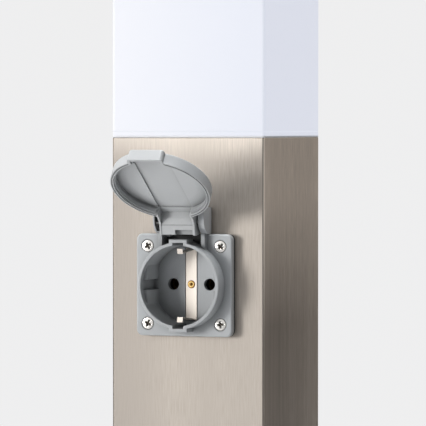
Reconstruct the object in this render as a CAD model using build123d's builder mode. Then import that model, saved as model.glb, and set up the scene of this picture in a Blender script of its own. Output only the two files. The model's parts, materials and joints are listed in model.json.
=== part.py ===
from build123d import *
from math import atan2, cos, degrees, radians, sin, tan
import os

# A square metal garden post with an opal light on top and a hinged-lid socket in its front face.
# Millimetres, +Z up, front towards -Y, origin at the middle of the base plate's underside.

os.makedirs("parts", exist_ok=True)

# Post
post_side = 80.0
post_wall = 1.5
post_corner_r = 1.2
post_inner_r = 0.5
post_rim_chamfer = 0.35     # on the tube's outer edge at its top
metal_top_z = 400.0
overall_height = 600.0
socket_drop = 72.0          # from the metal's top edge down to the socket's centre
overrun = 5.0               # how far a cut runs past the faces that it opens
seat_gap = 0.3              # between a loose piece and the wall beside it
screw_gap = 0.25            # between a screw and the hole that it passes through
thread_gap = 0.05           # between a screw and the thread that holds it

# Base plate, grommet and bracket
plate_side = 120.0
plate_t = 4.0
plate_corner_r = 6.0
plate_edge_r = 0.8
anchor_spacing = 100.0
anchor_hole_r = 4.5
entry_hole_r = 12.0
grommet_bore_r = 5.5
grommet_lip_w = 2.5
grommet_lip_t = 1.4
bracket_t = 2.5
bracket_depth = 44.0
bracket_height = 104.0
bracket_bend_r = 3.0
bracket_hole_r = 16.0
base_screw_r = 2.5
base_screw_head_r = 4.6
base_screw_head_h = 2.6
base_screw_x = 24.0
base_screw_y = 15.0
side_screw_r = 2.0
side_screw_head_r = 3.6
side_screw_head_h = 2.0
side_screw_length = 6.0
side_screw_z = 34.0

# Socket moulding
flange_side = 50.0
flange_t = 3.0
flange_corner_r = 3.0
flange_edge_r = 0.9
gasket_t = 2.0
gasket_inset = 0.1
collar_r = 21.26
collar_wall = 1.6
collar_height = 8.1
collar_edge_r = 0.5
bump_half_w = 4.8
bump_reach = 22.6
notch_half_w = 2.84
notch_reach = 20.9
cup_depth = 10.2            # floor of the recess, behind the flange's front face
floor_t = 3.0
flat_x = 17.2               # flats on both sides of the recess
flat_front = 4.5            # where they start, in front of the flange's front face
guide_w = 5.1               # groove in the middle of each flat
pin_x = 9.5
pin_hole_r = 2.9
body_gap = 0.5              # between the cup and the hole in the post

# Flange screws
flange_screw_spacing = 38.0
flange_screw_r = 1.7
flange_screw_head_r = 2.95
flange_screw_head_h = 1.7
flange_screw_length = 12.0
flange_screw_turns = [64.0, 28.0, 8.0, 50.0]
countersink_r = 3.4
nut_across = 6.0
nut_t = 2.8

# Hinge ears, jambs, pocket and stop bar, on the socket moulding
hinge_y = 5.44              # hinge line in front of the flange's front face
hinge_z = 30.43             # hinge line above the socket's centre
hinge_pin_r = 1.0
pin_run_gap = 0.05
pin_seat_gap = 0.02
ear_in = 10.2
ear_t = 3.1
ear_front = 7.4
ear_top = 38.1
ear_bend_r = 7.2
ear_round_r = 2.4
ear_blind = 2.2             # depth of the pin's hole in the right ear
ear_skin = 0.8              # what the round pocket leaves of the left ear
ear_pocket_r = 4.4
jamb_w = 1.9
jamb_proud = 3.2
jamb_foot = 17.0
pocket_half_w = 10.2
pocket_foot = 18.0
ledge_w = 2.8
ledge_h = 1.4
stop_bar_back = 2.65        # the bar between the ears is this thick
stop_bar_low = 33.0
stop_bar_high = 36.8

# Lid, measured from the hinge line: along the lid, and out of it along its outer normal
lid_open_angle = 125.25
rim_n = -1.6
lid_depth = 6.2
lid_plate_t = 1.4
lid_r = 24.5
lid_wall = 1.6
lid_edge_r = 0.9
rim_groove_w = 0.6
rim_groove_depth = 0.5
band_half_w = 8.9
band_depth = 0.7
tab_half_w = 9.0
tab_reach = 25.8            # from the lid's centre to the tab's end
tab_wall = 1.5
tab_corner_r = 1.6
neck_half_w = 9.2
neck_rib_t = 1.0
neck_rib_proud = 0.25
block_size = 6.4            # reach of the hinge block from the hinge line
block_front_shares = [(-0.16, -1.0), (0.38, -0.43), (0.62, 0.03)]
block_top_share = 0.81
block_heel_root_share = -0.06
block_rear_shares = [(-0.42, 0.91), (-0.62, 0.41), (-0.76, -0.47)]
block_round_share = 0.14
neck_lap = 3.0              # how far the neck reaches into the lid's disc
parting_groove = 0.35
seal_lip_t = 0.7
seal_lip_h = 2.0
seal_lip_gap = 0.1
seal_lip_set = 0.9          # from the rim's face in to the seal
window_half_w = 4.5
window_x = 3.3
window_h = 2.6
window_depth = 2.6

# Contacts, block and rear cover
strip_w = 5.6
strip_t = 1.0
strip_proud = 0.2
strip_side_gap = 0.4
strip_reach = 17.6
clip_w = 2.8
clip_t = 0.7
clip_knee = 15.4            # distance of the clip's nose from the centre
clip_front = 4.9            # the clip's bend, in front of the flange's front face
clip_lip = 2.5              # its end, folded outward from the bend
clip_lip_rise = 0.6
rivet_r = 1.5
rivet_head_r = 2.0
rivet_head_t = 0.5
rivet_dimple_r = 1.05
block_r = 20.3
block_depth = 23.0
chamber_w = 9.0
chamber_h = 11.0
chamber_wall = 3.0
sleeve_wall = 0.8
sleeve_bore_r = 2.75
sleeve_set = 5.0
sleeve_slit = 0.8
terminal_w = 7.6
terminal_proud = 5.0
terminal_set = 2.0          # how far a terminal reaches into its chamber
terminal_screw_r = 1.5
terminal_screw_head_r = 2.4
terminal_screw_head_h = 1.6
strap_w = 6.0
strap_t = 1.0
strap_h = 12.0
earth_drop = 8.0
boss_r = 3.0
boss_length = 7.0
rear_screw_x = 12.0
rear_screw_z = 10.5
rear_screw_r = 1.5
rear_screw_head_r = 2.8
rear_screw_head_h = 2.0
cover_depth = 18.0
cover_wall = 1.6
cover_entry_r = 5.5

# Light
diffuser_wall = 2.5
diffuser_top_edge_r = 1.5
diffuser_seal_t = 0.8
diffuser_line_z = 2.8       # shallow line round the diffuser, above the metal's top edge
diffuser_line = 0.3
skirt_depth = 12.0
skirt_wall = 2.2
skirt_lap = 3.0
carrier_top_drop = 14.0     # from the metal's top edge down to the carrier
carrier_t = 2.0
carrier_flange_h = 12.0
carrier_hole_r = 8.0
rear_fix_x = 25.0
rear_fix_r = 1.75
rear_fix_head_r = 3.1
rear_fix_head_h = 1.8
rear_fix_length = 5.0
holder_base_r = 24.0
holder_base_t = 5.0
holder_r = 18.0
holder_mouth_r = 16.6
holder_height = 45.0
holder_cavity_r = 14.0
holder_floor = 12.0
holder_screw_x = 20.5
holder_screw_r = 1.75
holder_screw_head_r = 3.0
holder_screw_head_h = 1.9
shell_t = 0.5
shell_height = 26.0
lamp_contact_w = 6.0
lamp_contact_t = 0.8
cap_r = 13.0
cap_height = 26.0
cap_tip_r = 5.0
cap_tip_h = 1.2
cap_set = 4.0               # from the holder's floor up to the cap's tip
thread_pitch = 3.6
thread_rise = 0.4
bulb_r = 22.5
bulb_neck_h = 20.0

# Terminal block, earth point and wires
pole_pitch = 10.0
pole_h = 18.0
pole_depth = 13.0
pole_x_set = 6.5            # from the bracket to the poles' axis
terminal_z = 78.0
insert_r = 3.6
insert_bore_r = 2.9
pole_screw_r = 1.3
pole_screw_head_r = 2.1
pole_screw_head_h = 1.4
fix_screw_r = 1.0
fix_screw_head_r = 1.35
fix_screw_head_h = 1.0
earth_screw_r = 2.0
earth_screw_length = 12.0
earth_z = 60.0
lug_t = 0.8
lug_ring_r = 4.2
lug_tail_w = 4.0
lug_tail = 12.0
earth_nut_across = 7.0
earth_nut_t = 3.2
wire_r = 1.2
wire_spread = 1.35          # two wires lie side by side in one pole
wire_in_pole = 2.5

# Worked-out places
inner_half = post_side / 2 - post_wall
socket_z = metal_top_z - socket_drop
flange_front_y = -(post_side / 2 + gasket_t + flange_t)
body_hole_r = collar_r + body_gap
ear_out = ear_in + ear_t
bracket_half = inner_half - seat_gap
bracket_floor_z = plate_t + bracket_t
floor_back = cup_depth + floor_t
block_back = floor_back + block_depth
cover_back = block_back + cover_depth
rear_screw_places = [(-rear_screw_x, rear_screw_z), (rear_screw_x, -rear_screw_z)]
carrier_top_z = metal_top_z - carrier_top_drop
skirt_z = metal_top_z - skirt_depth
holder_top_z = carrier_top_z + holder_height
cap_low_z = carrier_top_z + holder_floor + cap_set
cap_top_z = cap_low_z + cap_height

# The socket's front plane: right and up as seen, and out of the post towards the viewer
face = Plane(origin=(0, flange_front_y, socket_z), x_dir=(1, 0, 0), z_dir=(0, -1, 0))

# The lid's planes in the open position: its own outer normal, and its middle section
open_sin = sin(radians(lid_open_angle))
open_cos = cos(radians(lid_open_angle))
hinge_point = (0, flange_front_y - hinge_y, socket_z + hinge_z)
hinge_plane = Plane(origin=hinge_point, x_dir=(0, 1, 0), z_dir=(1, 0, 0))
lid_plane = Plane(origin=hinge_point, x_dir=(1, 0, 0), z_dir=(0, -open_cos, open_sin))
lid_section = Plane(origin=hinge_point, x_dir=(0, -open_sin, -open_cos), z_dir=(-1, 0, 0))
lid_floor_n = rim_n + lid_depth - lid_plate_t
lid_outer_n = rim_n + lid_depth


def cross_screw(shank_r, length, head_r, head_h, sunk=False):
    """A cross-head screw along Z. Its seat is at zero, or its head's top where it is sunk."""
    edge_share = 0.5
    crown_share = 0.62
    arm_share = 0.62
    arm_w_share = 0.2
    cut_share = 0.6
    top = 0 if sunk else head_h
    with BuildPart() as made:
        with BuildSketch(Plane.XZ):
            with BuildLine():
                if sunk:
                    Polyline((0, 0), (head_r, 0), (shank_r, -head_h), (shank_r, -length), (0, -length), close=True)
                else:
                    Polyline(
                        (0, top),
                        (head_r * crown_share, top),
                        (head_r, top * edge_share),
                        (head_r, 0),
                        (shank_r, 0),
                        (shank_r, -length),
                        (0, -length),
                        close=True,
                    )
            make_face()
        revolve(axis=Axis.Z)
        with BuildSketch(Plane.XY.offset(top)):
            Rectangle(2 * head_r * arm_share, 2 * head_r * arm_w_share)
            Rectangle(2 * head_r * arm_w_share, 2 * head_r * arm_share)
        extrude(amount=-head_h * cut_share, mode=Mode.SUBTRACT)
    return made.part


def hex_nut(across, thickness, bore_r):
    """A hexagon nut along Z, seated at zero, with its upper corners turned off."""
    with BuildPart() as made:
        with BuildSketch():
            RegularPolygon(across / 2, side_count=6, major_radius=False)
            Circle(bore_r, mode=Mode.SUBTRACT)
        extrude(amount=thickness)
    return made.part


def bend_radii(route):
    """The largest radius for each corner of a wire's route that its two runs allow."""
    reach_share = 0.45
    points = [Vector(*point) for point in route]
    radii = []
    for before, here, after in zip(points, points[1:], points[2:]):
        turn = (here - before).get_angle(after - here)
        run = min((here - before).length, (after - here).length)
        radii.append(reach_share * run / tan(radians(turn) / 2))
    return radii


def wire(route):
    """One insulated wire: straight runs joined by tangent arcs."""
    with BuildPart() as made:
        with BuildLine() as path:
            FilletPolyline(*route, radius=bend_radii(route))
        with BuildSketch(Plane(origin=path.line @ 0, z_dir=path.line % 0)):
            Circle(wire_r)
        sweep(path=path.line)
    return made.part


# Base plate with its anchor holes, cable hole and four threaded holes for the bracket
with BuildPart() as base_plate:
    with BuildSketch():
        RectangleRounded(plate_side, plate_side, plate_corner_r)
    extrude(amount=plate_t)
    fillet(base_plate.faces().sort_by(Axis.Z)[-1].edges(), plate_edge_r)
    with BuildSketch():
        with GridLocations(anchor_spacing, anchor_spacing, 2, 2):
            Circle(anchor_hole_r)
        with GridLocations(2 * base_screw_x, 2 * base_screw_y, 2, 2):
            Circle(base_screw_r + thread_gap)
        Circle(entry_hole_r)
    extrude(amount=plate_t, mode=Mode.SUBTRACT)
    with BuildSketch():
        Circle(entry_hole_r + grommet_lip_w + seat_gap)
    extrude(amount=grommet_lip_t + seat_gap, mode=Mode.SUBTRACT)

# Rubber grommet: two lips with the plate between them
grommet_low_z = seat_gap
grommet_waist_low = grommet_low_z + grommet_lip_t
grommet_waist_r = entry_hole_r - thread_gap
with BuildPart() as cable_grommet:
    with BuildSketch(Plane.XZ):
        with BuildLine():
            Polyline(
                (grommet_bore_r, grommet_low_z),
                (entry_hole_r + grommet_lip_w, grommet_low_z),
                (entry_hole_r + grommet_lip_w, grommet_waist_low),
                (grommet_waist_r, grommet_waist_low),
                (grommet_waist_r, plate_t),
                (entry_hole_r + grommet_lip_w, plate_t),
                (entry_hole_r + grommet_lip_w, plate_t + grommet_lip_t),
                (grommet_bore_r, plate_t + grommet_lip_t),
                close=True,
            )
        make_face()
    revolve(axis=Axis.Z)

# Bracket: a bent strap whose two uprights stand inside the post
earth_point = (-bracket_half, 0, earth_z)
pole_x = bracket_half - bracket_t - pole_x_set
with BuildPart() as post_bracket:
    with BuildSketch(Plane.XZ):
        with BuildLine():
            FilletPolyline(
                (-bracket_half, plate_t + bracket_height),
                (-bracket_half, plate_t),
                (bracket_half, plate_t),
                (bracket_half, plate_t + bracket_height),
                radius=bracket_bend_r,
            )
            FilletPolyline(
                (-bracket_half + bracket_t, plate_t + bracket_height),
                (-bracket_half + bracket_t, bracket_floor_z),
                (bracket_half - bracket_t, bracket_floor_z),
                (bracket_half - bracket_t, plate_t + bracket_height),
                radius=bracket_bend_r - bracket_t + seat_gap,
            )
            Line((-bracket_half, plate_t + bracket_height), (-bracket_half + bracket_t, plate_t + bracket_height))
            Line((bracket_half, plate_t + bracket_height), (bracket_half - bracket_t, plate_t + bracket_height))
        make_face()
    extrude(amount=bracket_depth / 2, both=True)
    with BuildSketch(Plane.XY.offset(plate_t)):
        Circle(bracket_hole_r)
        with GridLocations(2 * base_screw_x, 2 * base_screw_y, 2, 2):
            Circle(base_screw_r + screw_gap)
    extrude(amount=bracket_t, mode=Mode.SUBTRACT)
    with BuildSketch(Plane.YZ):
        with Locations((0, side_screw_z)):
            Circle(side_screw_r + thread_gap)
    extrude(amount=inner_half, both=True, mode=Mode.SUBTRACT)
    with BuildSketch(Plane.YZ.offset(-bracket_half)):
        with Locations((0, earth_z)):
            Circle(earth_screw_r + screw_gap)
    extrude(amount=bracket_t, mode=Mode.SUBTRACT)
    with BuildSketch(Plane.YZ.offset(bracket_half)):
        with Locations((-pole_pitch / 2, terminal_z), (pole_pitch / 2, terminal_z)):
            Circle(fix_screw_r + thread_gap)
    extrude(amount=-bracket_t, mode=Mode.SUBTRACT)

base_screw = cross_screw(base_screw_r, bracket_t + plate_t - seat_gap, base_screw_head_r, base_screw_head_h)
with BuildPart() as base_screws:
    for x in (-base_screw_x, base_screw_x):
        for y in (-base_screw_y, base_screw_y):
            with Locations((x, y, bracket_floor_z)):
                add(base_screw)

# Post: a square tube with the socket's hole, and holes for its screws
with BuildPart() as post_tube:
    with BuildSketch(Plane.XY.offset(plate_t)):
        RectangleRounded(post_side, post_side, post_corner_r)
    extrude(amount=metal_top_z - plate_t)
    chamfer(post_tube.faces().sort_by(Axis.Z)[-1].edges(), post_rim_chamfer)
    with BuildSketch(Plane.XY.offset(plate_t)):
        RectangleRounded(2 * inner_half, 2 * inner_half, post_inner_r)
    extrude(amount=metal_top_z - plate_t, mode=Mode.SUBTRACT)
    with BuildSketch(face.offset(-(flange_t + gasket_t + post_wall))):
        Circle(body_hole_r)
        with GridLocations(flange_screw_spacing, flange_screw_spacing, 2, 2):
            Circle(flange_screw_r + screw_gap)
    extrude(amount=post_wall, mode=Mode.SUBTRACT)
    with BuildSketch(Plane.YZ):
        with Locations((0, side_screw_z)):
            Circle(side_screw_r + screw_gap)
    extrude(amount=post_side, both=True, mode=Mode.SUBTRACT)
    with BuildSketch(Plane.XZ.offset(-inner_half)):
        with Locations(*[(x, z) for x in (-rear_fix_x, rear_fix_x)
                         for z in (skirt_z + skirt_depth / 2, carrier_top_z - carrier_flange_h / 2)]):
            Circle(rear_fix_r + screw_gap)
    extrude(amount=-post_wall, mode=Mode.SUBTRACT)

side_screw = cross_screw(side_screw_r, side_screw_length, side_screw_head_r, side_screw_head_h)
with BuildPart() as side_screws:
    for side in (-1, 1):
        seat = Plane(origin=(side * post_side / 2, 0, side_screw_z), x_dir=(0, 1, 0), z_dir=(side, 0, 0))
        with Locations(seat.location):
            add(side_screw)

# Gasket between the flange and the post
with BuildPart() as socket_gasket:
    with BuildSketch(face.offset(-(flange_t + gasket_t))):
        RectangleRounded(flange_side - 2 * gasket_inset, flange_side - 2 * gasket_inset, flange_corner_r)
        Circle(body_hole_r, mode=Mode.SUBTRACT)
        with GridLocations(flange_screw_spacing, flange_screw_spacing, 2, 2):
            Circle(flange_screw_r + screw_gap, mode=Mode.SUBTRACT)
    extrude(amount=gasket_t)

# Socket moulding: flange, collar and recess in one piece, with the ears of the hinge
groove_depth = strip_t - strip_proud
with BuildPart() as socket_front:
    with BuildSketch(face):
        RectangleRounded(flange_side, flange_side, flange_corner_r)
    extrude(amount=-flange_t)
    fillet(socket_front.faces().sort_by(Axis.Y)[0].edges(), flange_edge_r)
    # ears with a bar between them, and the narrow jambs that run down from them to the collar
    for side in (-1, 1):
        inner = Plane(origin=(side * ear_in, flange_front_y, socket_z), x_dir=(0, 1, 0), z_dir=(1, 0, 0))
        with BuildSketch(inner):
            with BuildLine():
                Polyline(
                    (-ear_front, flange_side / 2 + ear_bend_r),
                    (-ear_front, ear_top),
                    (flange_t, ear_top),
                    (flange_t, flange_side / 2 - flange_edge_r),
                    (0, flange_side / 2 - flange_edge_r),
                )
                Line((0, flange_side / 2 - flange_edge_r), (0, flange_side / 2))
                RadiusArc(
                    (0, flange_side / 2),
                    (-ear_front, flange_side / 2 + ear_bend_r),
                    ear_front,
                )
            make_face()
        extrude(amount=side * ear_t)
        with BuildSketch(inner):
            with BuildLine():
                Polyline(
                    (-jamb_proud, jamb_foot),
                    (-jamb_proud, flange_side / 2 + ear_bend_r / 2),
                    (0, flange_side / 2 + ear_bend_r / 2),
                    (0, jamb_foot),
                    close=True,
                )
            make_face()
        extrude(amount=side * jamb_w)
    ear_tops = socket_front.edges().filter_by(Axis.X).group_by(Axis.Z)[-1]
    fillet(ear_tops.sort_by(Axis.Y)[:2], ear_round_r)
    with BuildSketch(face.offset(-flange_t)):
        with Locations((0, (stop_bar_low + stop_bar_high) / 2)):
            Rectangle(2 * ear_in, stop_bar_high - stop_bar_low)
    extrude(amount=stop_bar_back)
    # pocket below the hinge, through to the gasket, with a small ledge in one corner
    with BuildSketch(face.offset(-flange_t)):
        with Locations((0, (pocket_foot + flange_side / 2) / 2)):
            Rectangle(2 * pocket_half_w, flange_side / 2 - pocket_foot)
    extrude(amount=flange_t, mode=Mode.SUBTRACT)
    with BuildSketch(face.offset(-flange_t)):
        with Locations((0, flange_side / 2 - ledge_h / 2)):
            Rectangle(2 * pocket_half_w, ledge_h)
        with Locations((ledge_w / 2, flange_side / 2 - ledge_h / 2)):
            Rectangle(2 * pocket_half_w - ledge_w, ledge_h, mode=Mode.SUBTRACT)
    extrude(amount=flange_t)
    # collar and cup
    with BuildSketch(face):
        Circle(collar_r)
        Rectangle(2 * bump_half_w, 2 * bump_reach)
    extrude(amount=collar_height)
    fillet(socket_front.faces().sort_by(Axis.Y)[0].edges(), collar_edge_r)
    with BuildSketch(face):
        Circle(collar_r)
    extrude(amount=-floor_back)
    with BuildSketch(face.offset(-floor_back)):
        with Locations(*rear_screw_places):
            Circle(boss_r)
    extrude(amount=-boss_length)
    # recess: a round mouth, then flats with a groove in each, and the notches for the earth clips
    with BuildSketch(face.offset(flat_front)):
        Circle(collar_r - collar_wall)
    extrude(amount=collar_height, mode=Mode.SUBTRACT)
    with BuildSketch(face.offset(-cup_depth)):
        Circle(collar_r - collar_wall)
        Rectangle(2 * flat_x, 2 * collar_r, mode=Mode.INTERSECT)
    extrude(amount=cup_depth + collar_height, mode=Mode.SUBTRACT)
    with BuildSketch(face.offset(-cup_depth)):
        Circle(collar_r - collar_wall)
        Rectangle(2 * collar_r, guide_w, mode=Mode.INTERSECT)
    extrude(amount=cup_depth + collar_height, mode=Mode.SUBTRACT)
    with BuildSketch(face.offset(-cup_depth)):
        Rectangle(2 * notch_half_w, 2 * notch_reach)
    extrude(amount=cup_depth + collar_height, mode=Mode.SUBTRACT)
    with BuildSketch(face.offset(-cup_depth)):
        Rectangle(strip_w + 2 * strip_side_gap, 2 * (strip_reach + strip_side_gap))
    extrude(amount=-groove_depth, mode=Mode.SUBTRACT)
    with BuildSketch(face.offset(-floor_back)):
        with Locations((-pin_x, 0), (pin_x, 0)):
            Circle(pin_hole_r)
        Circle(rivet_r + thread_gap)
    extrude(amount=floor_t, mode=Mode.SUBTRACT)
    with BuildSketch(face.offset(-(floor_back + boss_length))):
        with Locations(*rear_screw_places):
            Circle(rear_screw_r + thread_gap)
    extrude(amount=boss_length, mode=Mode.SUBTRACT)
    # countersunk screw holes
    with Locations(face.location):
        with GridLocations(flange_screw_spacing, flange_screw_spacing, 2, 2):
            CounterSinkHole(flange_screw_r + screw_gap, countersink_r, depth=flange_t)
    # round pocket in the left ear, and the hinge pin's hole: through that ear and blind in the right one
    with BuildSketch(hinge_plane.offset(ear_skin - ear_out)):
        Circle(ear_pocket_r)
    extrude(amount=ear_t - ear_skin, mode=Mode.SUBTRACT)
    with BuildSketch(hinge_plane.offset(-ear_out)):
        Circle(hinge_pin_r + pin_seat_gap)
    extrude(amount=ear_out + ear_in + ear_blind, mode=Mode.SUBTRACT)

flange_screw = cross_screw(
    flange_screw_r, flange_screw_length, flange_screw_head_r, flange_screw_head_h, sunk=True
)
flange_half_spacing = flange_screw_spacing / 2
flange_screw_set = (countersink_r - flange_screw_head_r) / 2
flange_corners = [(x, z) for x in (-flange_half_spacing, flange_half_spacing)
                  for z in (-flange_half_spacing, flange_half_spacing)]
with BuildPart() as flange_screws:
    for (x, z), turn in zip(flange_corners, flange_screw_turns):
        with Locations(face.offset(-flange_screw_set).location * Location((x, z, 0), (0, 0, turn))):
            add(flange_screw)

flange_nut = hex_nut(nut_across, nut_t, flange_screw_r + thread_gap)
wall_back = face.offset(-(flange_t + gasket_t + post_wall + nut_t))
with BuildPart() as flange_nuts:
    for x, z in flange_corners:
        with Locations(wall_back.location * Location((x, z, 0))):
            add(flange_nut)

pin_end_gap = seat_gap
with BuildPart() as hinge_pin:
    with BuildSketch(hinge_plane.offset(pin_end_gap - ear_out)):
        Circle(hinge_pin_r)
    extrude(amount=ear_out + ear_in + ear_blind - 2 * pin_end_gap)
    chamfer(hinge_pin.edges().filter_by(GeomType.CIRCLE), pin_end_gap)

# Lid, standing open. The hinge block's outline is along the lid and out of it, from the hinge line.
lid_inner_r = lid_r - lid_wall
lid_rim_s = hinge_z - lid_r
neck_s = lid_rim_s + neck_lap
block_top_s = block_size * block_top_share
tab_inner_w = tab_half_w - tab_wall
tab_inner_reach = tab_reach - tab_wall
block_in_w = neck_half_w - neck_rib_t
block_front = [(block_size * s, block_size * n) for s, n in block_front_shares]
block_rear = [(block_size * s, block_size * n) for s, n in block_rear_shares]
block_outline = [
    *block_front,
    (block_top_s, lid_floor_n),
    (neck_s, lid_floor_n),
    (neck_s, lid_outer_n),
    (block_size * block_heel_root_share, lid_outer_n),
    *block_rear,
]
front_slope = degrees(atan2(block_front[1][1] - block_front[0][1], block_front[1][0] - block_front[0][0]))
block_round = block_size * block_round_share
block_rounds = [block_round, block_round, 0, 0, 0, 0, 0, block_round / 2, block_round, block_round]
with BuildPart() as lid_cover:
    with BuildSketch(lid_plane.offset(rim_n)) as lid_outline:
        with Locations((0, -hinge_z)):
            Circle(lid_r)
        with Locations((0, -hinge_z - tab_reach / 2)):
            Rectangle(2 * tab_half_w, tab_reach)
        fillet(lid_outline.vertices().group_by(Axis.Y)[0], tab_corner_r)
    extrude(amount=lid_depth)
    fillet(lid_cover.faces().sort_by(Axis(hinge_point, lid_plane.z_dir))[-1].edges(), lid_edge_r)
    with BuildSketch(lid_section):
        with BuildLine():
            FilletPolyline(*block_outline, radius=block_rounds, close=True)
        make_face()
    extrude(amount=block_in_w, both=True)
    for side in (-1, 1):
        with BuildSketch(lid_section.offset(-side * neck_half_w)):
            with BuildLine():
                FilletPolyline(*block_outline, radius=block_rounds, close=True)
            make_face()
            offset(amount=neck_rib_proud)
            with BuildLine():
                Polyline(
                    block_front[1],
                    (lid_rim_s, rim_n),
                    (neck_s, rim_n),
                    (neck_s, lid_outer_n),
                    (0, lid_outer_n),
                    close=True,
                )
            make_face()
        extrude(amount=side * neck_rib_t)
    # hollow of the lid, open towards the neck and into the tab
    with BuildSketch(lid_plane.offset(rim_n)):
        with Locations((0, -hinge_z)):
            Circle(lid_inner_r)
        with Locations((0, -hinge_z - tab_inner_reach / 2)):
            Rectangle(2 * tab_inner_w, tab_inner_reach)
        with Locations((0, -(block_top_s + hinge_z) / 2)):
            Rectangle(2 * block_in_w, hinge_z - block_top_s)
    extrude(amount=lid_depth - lid_plate_t, mode=Mode.SUBTRACT)
    # shallow band along the middle of its floor
    with BuildSketch(lid_plane.offset(lid_floor_n)):
        with Locations((0, -hinge_z)):
            Circle(lid_inner_r)
        with Locations((0, -hinge_z - tab_inner_reach / 2)):
            Rectangle(2 * tab_inner_w, tab_inner_reach)
        with Locations((0, -(neck_s + hinge_z + lid_r) / 2)):
            Rectangle(2 * band_half_w, hinge_z + lid_r - neck_s, mode=Mode.INTERSECT)
    extrude(amount=band_depth, mode=Mode.SUBTRACT)
    with BuildSketch(lid_plane.offset(rim_n)):
        with Locations((0, -hinge_z)):
            Circle(lid_r - lid_wall / 2 + rim_groove_w / 2)
            Circle(lid_r - lid_wall / 2 - rim_groove_w / 2, mode=Mode.SUBTRACT)
            Rectangle(2 * tab_half_w, 2 * lid_r, mode=Mode.SUBTRACT)
    extrude(amount=rim_groove_depth, mode=Mode.SUBTRACT)
    # parting groove and pocket in the front of the block, and the hole for the pin
    with BuildSketch(lid_section):
        with Locations(block_front[1]):
            Rectangle(parting_groove, parting_groove)
    extrude(amount=block_in_w, both=True, mode=Mode.SUBTRACT)
    with BuildSketch(lid_section.offset(-window_x)):
        with Locations(block_front[0]):
            Rectangle(2 * window_h, 2 * window_depth, rotation=front_slope)
    extrude(amount=window_half_w, both=True, mode=Mode.SUBTRACT)
    with BuildSketch(lid_section):
        Circle(hinge_pin_r + pin_run_gap)
    extrude(amount=neck_half_w, both=True, mode=Mode.SUBTRACT)

# Seal lip: a soft band along the inside of the lid's wall, open at the neck
seal_r = lid_inner_r - seal_lip_gap
seal_w = tab_inner_w - seal_lip_gap
seal_reach = tab_inner_reach - seal_lip_gap
with BuildPart() as lid_seal:
    with BuildSketch(lid_plane.offset(rim_n + seal_lip_set)):
        with Locations((0, -hinge_z)):
            Circle(seal_r)
        with Locations((0, -hinge_z - seal_reach / 2)):
            Rectangle(2 * seal_w, seal_reach)
        with Locations((0, -hinge_z)):
            Circle(seal_r - seal_lip_t, mode=Mode.SUBTRACT)
        with Locations((0, -hinge_z - (seal_reach - seal_lip_t) / 2)):
            Rectangle(2 * (seal_w - seal_lip_t), seal_reach - seal_lip_t, mode=Mode.SUBTRACT)
        with Locations((0, -hinge_z / 2)):
            Rectangle(2 * neck_half_w, hinge_z, mode=Mode.SUBTRACT)
    extrude(amount=seal_lip_h)

# Earth bridge: a strip across the floor of the recess, with a sprung clip at each end
strip_front = cup_depth - strip_proud
side_section = Plane(origin=(0, flange_front_y, socket_z), x_dir=(0, 1, 0), z_dir=(1, 0, 0))
top_section = Plane(origin=(0, flange_front_y, socket_z), x_dir=(1, 0, 0), z_dir=(0, 0, 1))
socket_axis = Axis((0, flange_front_y, socket_z), (0, 1, 0))
with BuildPart() as earth_bridge:
    with BuildSketch(face.offset(-(strip_front + strip_t))):
        Rectangle(strip_w, 2 * strip_reach)
        Circle(rivet_r + thread_gap, mode=Mode.SUBTRACT)
    extrude(amount=strip_t)
    for side in (-1, 1):
        with BuildSketch(side_section):
            with BuildLine():
                Polyline(
                    (strip_front, side * strip_reach),
                    (clip_t - clip_front, side * (clip_knee + clip_t)),
                    (clip_t - clip_front - clip_lip_rise, side * (clip_knee + clip_lip)),
                    (-clip_front - clip_lip_rise, side * (clip_knee + clip_lip)),
                    (-clip_front, side * clip_knee),
                    (strip_front, side * (strip_reach - clip_t)),
                    close=True,
                )
            make_face()
        extrude(amount=clip_w / 2, both=True)

with BuildPart() as earth_rivet:
    with BuildSketch(top_section):
        with BuildLine():
            Polyline(
                (0, cup_depth),
                (rivet_dimple_r, strip_front - rivet_head_t / 2),
                (rivet_dimple_r, strip_front - rivet_head_t),
                (rivet_head_r - rivet_head_t / 2, strip_front - rivet_head_t),
                (rivet_head_r, strip_front),
                (rivet_r, strip_front),
                (rivet_r, floor_back + strap_t),
                (rivet_head_r, floor_back + strap_t),
                (rivet_head_r, floor_back + strap_t + rivet_head_t),
                (0, floor_back + strap_t + rivet_head_t),
                close=True,
            )
        make_face()
    revolve(axis=socket_axis)

# Insulating block behind the recess, with a chamber for each contact
terminal_front = block_back - chamber_wall - terminal_set
terminal_back = block_back + terminal_proud
terminal_places = [(-pin_x, 0), (pin_x, 0), (0, -earth_drop)]
with BuildPart() as contact_block:
    with BuildSketch(face.offset(-floor_back)):
        Circle(block_r)
    extrude(amount=-block_depth)
    with BuildSketch(face.offset(-floor_back)):
        with Locations((-pin_x, 0), (pin_x, 0)):
            Rectangle(chamber_w, chamber_h)
        with Locations((0, (strap_h / 2 - earth_drop - terminal_w / 2) / 2)):
            Rectangle(strap_w + 2 * seat_gap, strap_h / 2 + earth_drop + terminal_w / 2 + 2 * seat_gap)
    extrude(amount=-(block_depth - chamber_wall), mode=Mode.SUBTRACT)
    with BuildSketch(face.offset(-block_back)):
        with Locations(*terminal_places):
            Rectangle(terminal_w + 2 * seat_gap, terminal_w + 2 * seat_gap)
    extrude(amount=chamber_wall + terminal_set + seat_gap, mode=Mode.SUBTRACT)
    with BuildSketch(face.offset(-floor_back)):
        with Locations(*rear_screw_places):
            Circle(boss_r + seat_gap)
    extrude(amount=-(boss_length + seat_gap), mode=Mode.SUBTRACT)
    with BuildSketch(face.offset(-block_back)):
        with Locations(*rear_screw_places):
            Circle(rear_screw_r + screw_gap)
    extrude(amount=block_depth, mode=Mode.SUBTRACT)


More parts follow.
